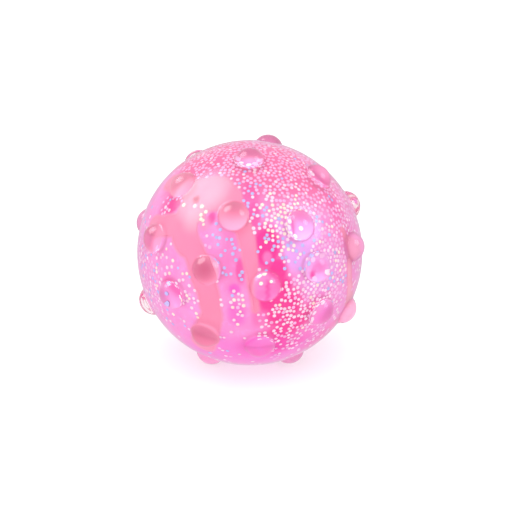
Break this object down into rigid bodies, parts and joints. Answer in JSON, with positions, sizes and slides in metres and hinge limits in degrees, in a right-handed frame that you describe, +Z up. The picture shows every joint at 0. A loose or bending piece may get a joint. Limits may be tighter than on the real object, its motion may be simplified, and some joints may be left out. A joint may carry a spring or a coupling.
{
  "type": "squishy ball",
  "caption": "Soft clear ball with round moulded nubs, filled with two-tone gel and loose glitter; it squashes when pressed and springs back.",
  "frame": {"origin": "on the floor, under the ball's centre, in the middle of the patch that the ball rests on", "axes": "+Z up, -Y towards the front view, +X to the right of it"},
  "size_m": [0.0707, 0.0753, 0.0711],
  "materials": {
    "skin": "glossy clear elastomer, faint pink",
    "plug": "glossy clear elastomer",
    "core_gel": "smooth wet gel, peach pink",
    "pearl_gel": "pearly gel, lilac to deep pink",
    "glitter_silver": "bright film",
    "glitter_gold": "bright film",
    "glitter_blue": "bright film",
    "glitter_rose": "bright film"
  },
  "bodies": {
    "lower_half": {"skin_lower": "skin", "core_gel": "core_gel", "pearl_gel": "pearl_gel", "glitter_silver": "glitter_silver", "glitter_gold": "glitter_gold", "glitter_blue": "glitter_blue", "glitter_rose": "glitter_rose"},
    "upper_half": {"skin_upper": "skin", "filler_plug": "plug"}
  },
  "joints": [
    {"name": "squeeze", "type": "slide", "parent": "lower_half", "child": "upper_half", "axis": [0, 0, -1], "range_m": [0, 0.02], "stiffness_N_per_m": 1500, "springref_m": -0.0005, "deforming": ["skin_lower", "core_gel", "pearl_gel", "glitter_silver", "glitter_gold", "glitter_blue", "glitter_rose"]}
  ]
}
